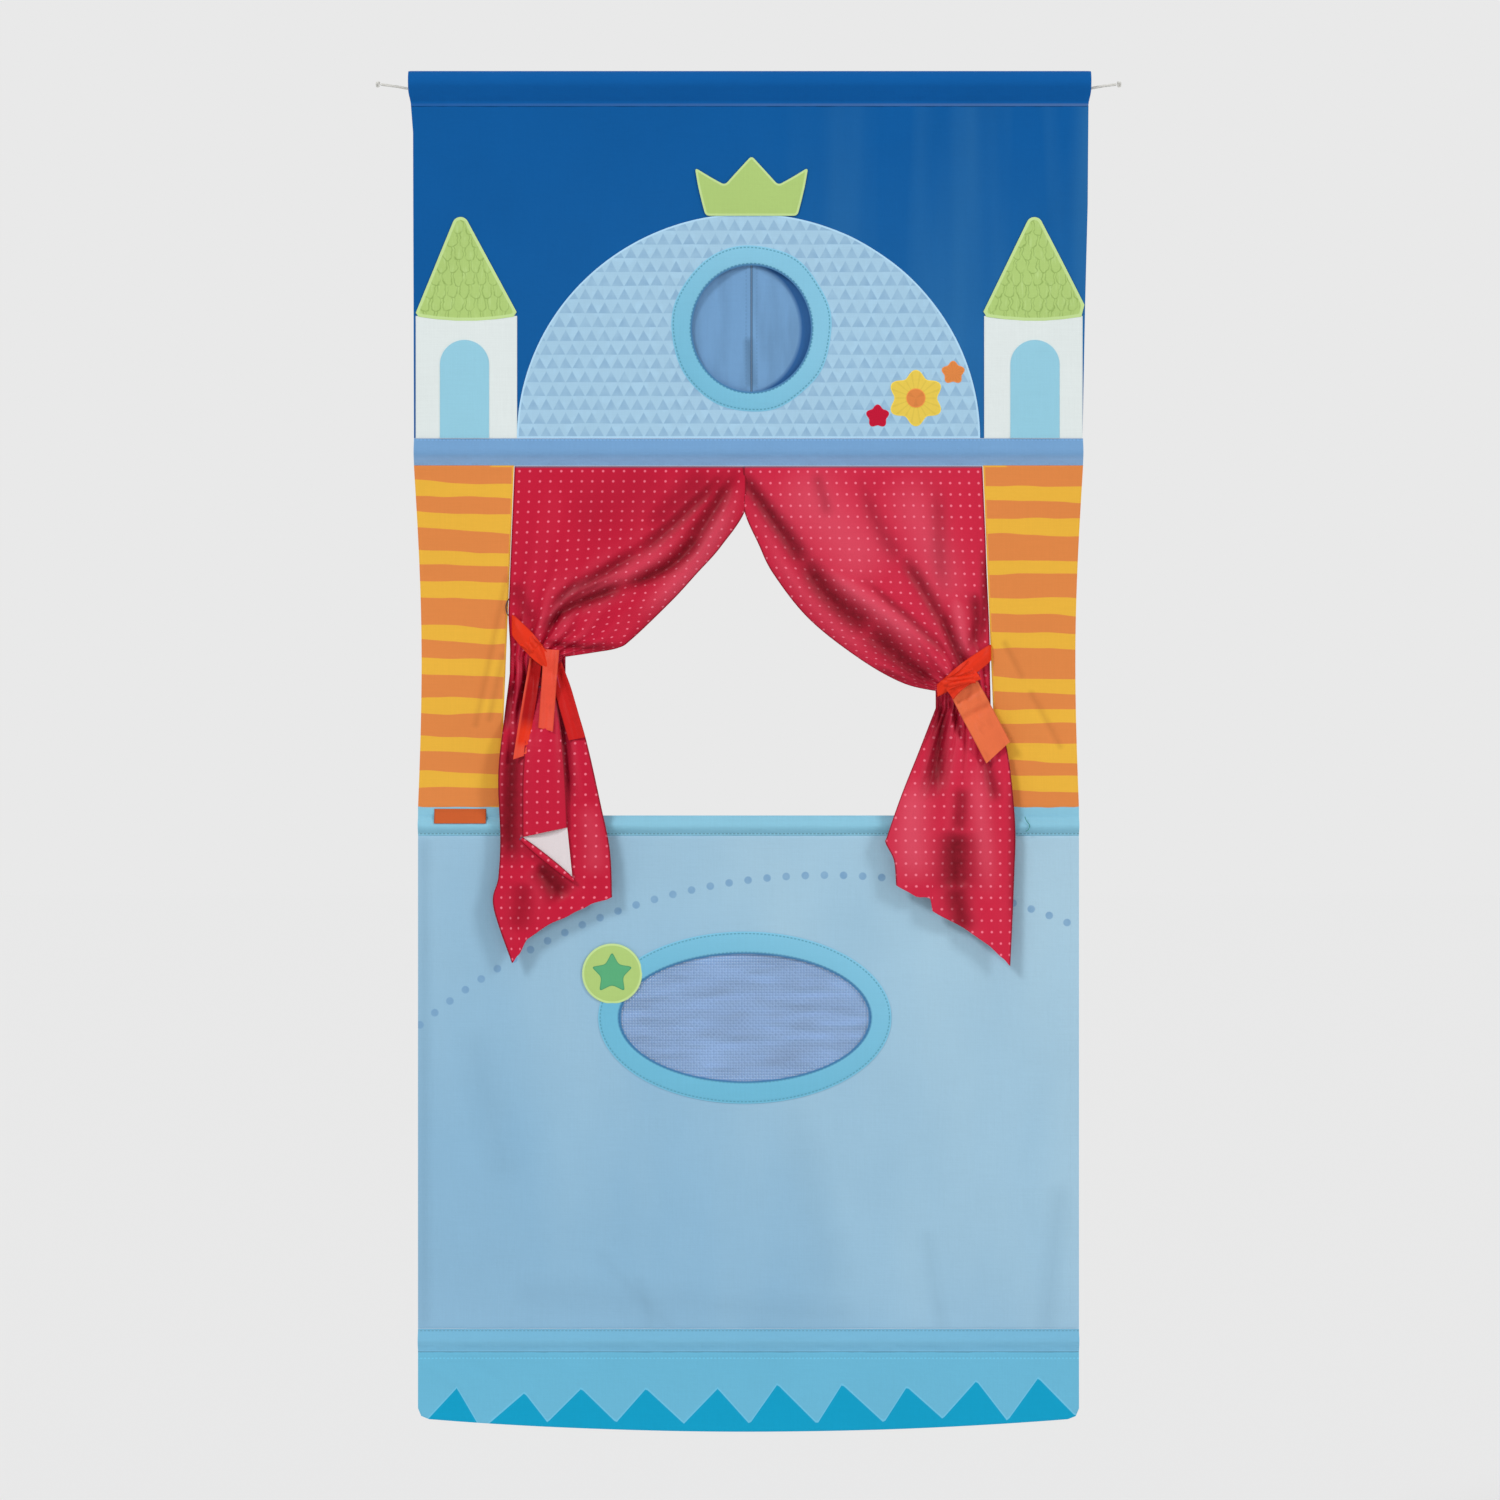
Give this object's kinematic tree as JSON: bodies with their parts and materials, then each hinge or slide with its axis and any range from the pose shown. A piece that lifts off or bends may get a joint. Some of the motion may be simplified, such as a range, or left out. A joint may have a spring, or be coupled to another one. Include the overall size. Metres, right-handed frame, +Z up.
{
  "type": "doorway puppet theatre",
  "caption": "Doorway puppet theatre of printed cloth that hangs from a corded top rod, with tied-back curtains over a stage opening, a flap window and a net window.",
  "frame": {"origin": "the middle of the top rod's axis, where the theatre hangs", "axes": "+X to the right seen from the front, -Y to the front (the audience), +Z up"},
  "size_m": [0.8212, 0.0305, 1.4963],
  "materials": {
    "rod_steel": "satin",
    "cap_plastic": "matte",
    "cord": "matte",
    "sky_cloth": "matte",
    "dome_cloth": "matte",
    "cyan_cloth": "matte",
    "periwinkle_cloth": "matte",
    "lime_cloth": "matte",
    "white_cloth": "matte",
    "window_cloth": "matte",
    "yellow_cloth": "matte",
    "orange_cloth": "matte",
    "red_satin": "satin",
    "ribbon": "satin",
    "panel_cloth": "matte",
    "net": "matte",
    "green_cloth": "matte",
    "valance_cloth": "matte",
    "rod_wood": "matte"
  },
  "bodies": {
    "top_rod_set": {"top_rod": "rod_steel", "top_rod_cap_left": "cap_plastic", "top_rod_cap_right": "cap_plastic", "hanging_cord_inside": "cord", "hanging_cord_left": "cord", "hanging_cord_right": "cord", "hanging_knot_left": "cord", "hanging_knot_right": "cord"},
    "castle_cloth": {"sky_panel": "sky_cloth", "dome_patch": "dome_cloth", "round_window_ring": "cyan_cloth", "crown_patch": "lime_cloth", "tower_wall_left": "white_cloth", "tower_wall_right": "white_cloth", "tower_window_left": "window_cloth", "tower_window_right": "window_cloth", "tower_roof_left": "lime_cloth", "tower_roof_right": "lime_cloth", "flower_yellow": "yellow_cloth", "flower_centre": "orange_cloth", "flower_red": "red_satin", "flower_orange": "orange_cloth", "ledge_band": "periwinkle_cloth", "ledge_rod": "rod_wood"},
    "flap_left": {"window_flap_left": "periwinkle_cloth"},
    "flap_right": {"window_flap_right": "periwinkle_cloth"},
    "stage_cloth": {"side_strip_left": "orange_cloth", "side_strip_right": "orange_cloth", "curtain_left_drape": "red_satin", "curtain_right_drape": "red_satin", "ribbon_left_loop": "ribbon", "ribbon_right_loop": "ribbon"},
    "tail_left": {"curtain_left_tail": "red_satin", "ribbon_left_outer_end": "ribbon", "ribbon_left_middle_end": "ribbon", "ribbon_left_inner_end": "ribbon"},
    "tail_right": {"curtain_right_tail": "red_satin", "ribbon_right_wide_end": "ribbon"},
    "lower_cloth": {"stage_band": "cyan_cloth", "stage_rod": "rod_wood", "seam_tab": "orange_cloth", "lower_panel": "panel_cloth", "oval_window_frame": "cyan_cloth", "oval_window_net": "net", "badge_disc": "lime_cloth", "badge_star": "green_cloth", "bottom_band": "cyan_cloth", "bottom_rod": "rod_wood"},
    "valance_cloth": {"valance": "valance_cloth"}
  },
  "joints": [
    {"name": "cloth_swing", "type": "hinge", "parent": "top_rod_set", "child": "castle_cloth", "pos_m": [0, 0, 0], "axis": [1, 0, 0], "range_deg": [-85, 85]},
    {"name": "flap_left_open", "type": "hinge", "parent": "castle_cloth", "child": "flap_left", "pos_m": [-0.0677, 0.0007, -0.2708], "axis": [0, 0, 1], "range_deg": [0, 85]},
    {"name": "flap_right_open", "type": "hinge", "parent": "castle_cloth", "child": "flap_right", "pos_m": [0.0743, 0.0007, -0.2708], "axis": [0, 0, -1], "range_deg": [0, 85]},
    {"name": "ledge_fold", "type": "hinge", "parent": "castle_cloth", "child": "stage_cloth", "pos_m": [0, 0, -0.42205], "axis": [1, 0, 0], "range_deg": [-85, 85]},
    {"name": "tail_left_swing", "type": "hinge", "parent": "stage_cloth", "child": "tail_left", "pos_m": [-0.2316, -0.0054, -0.65065], "axis": [1, 0, 0], "range_deg": [-60, 0]},
    {"name": "tail_right_swing", "type": "hinge", "parent": "stage_cloth", "child": "tail_right", "pos_m": [0.2347, -0.0054, -0.68835], "axis": [1, 0, 0], "range_deg": [-60, 0]},
    {"name": "stage_fold", "type": "hinge", "parent": "stage_cloth", "child": "lower_cloth", "pos_m": [0, 0.0004, -0.79815], "axis": [1, 0, 0], "range_deg": [0, 85]},
    {"name": "valance_fold", "type": "hinge", "parent": "lower_cloth", "child": "valance_cloth", "pos_m": [0, 0, -1.39775], "axis": [1, 0, 0], "range_deg": [-85, 85]}
  ]
}
